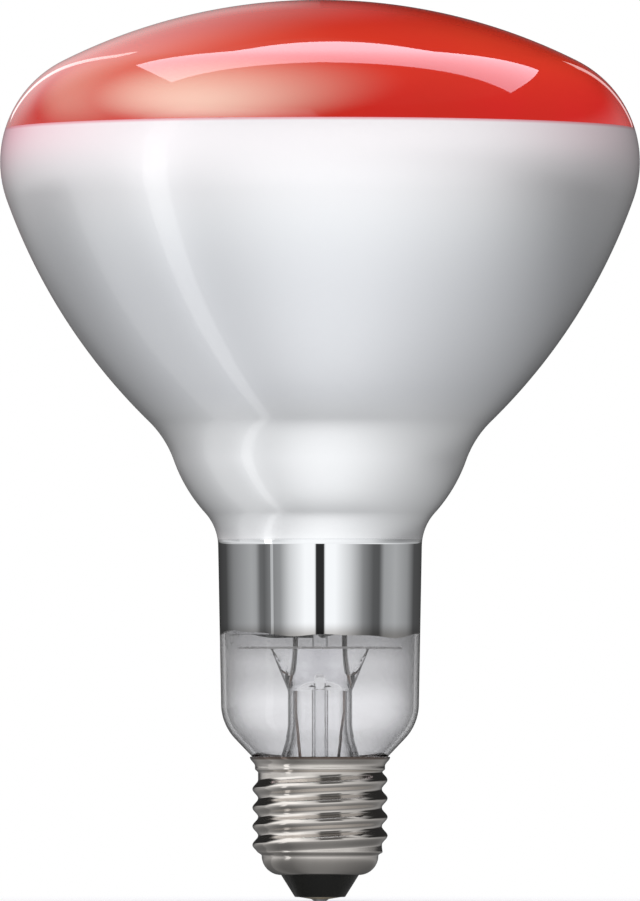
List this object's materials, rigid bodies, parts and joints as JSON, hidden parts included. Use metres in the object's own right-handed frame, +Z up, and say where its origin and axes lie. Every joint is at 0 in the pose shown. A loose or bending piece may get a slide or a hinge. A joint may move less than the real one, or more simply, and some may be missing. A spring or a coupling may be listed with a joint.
{
  "type": "infrared heat lamp bulb",
  "caption": "Reflector heat lamp bulb with a red domed face, mirrored tapering body, clear neck and screw cap.",
  "frame": {"origin": "centre of the flat on the solder of the centre contact, the lowest point of the lamp", "axes": "+Z up the lamp's axis from the contact to the domed face; -Y is the front, towards the camera; +X is to the right in the picture"},
  "size_m": [0.125, 0.125, 0.176],
  "materials": {
    "clear_glass": "clear",
    "red_film": "gloss",
    "aluminium_film": "satin under glass",
    "cap_metal": "bright nickel plate",
    "black_glass": "gloss",
    "contact_brass": "pressed",
    "solder": "satin",
    "cement": "matt",
    "copper": "drawn wire",
    "nickel_wire": "drawn wire",
    "shield_metal": "rolled sheet",
    "tungsten": "drawn wire"
  },
  "bodies": {
    "root": {"glass_bulb": "clear_glass", "red_filter_coat": "red_film", "mirror_coat": "aluminium_film", "screw_shell": "cap_metal", "cap_insulator": "black_glass", "contact_plate": "contact_brass", "contact_solder": "solder", "capping_cement": "cement", "stem": "clear_glass", "exhaust_tube": "clear_glass", "outer_lead_centre": "copper", "outer_lead_side": "copper", "inner_lead_left": "nickel_wire", "inner_lead_right": "nickel_wire", "heat_shield": "shield_metal", "arbor": "clear_glass", "support_1": "tungsten", "support_2": "tungsten", "support_3": "tungsten", "support_4": "tungsten", "support_5": "tungsten", "filament": "tungsten"}
  },
  "joints": []
}
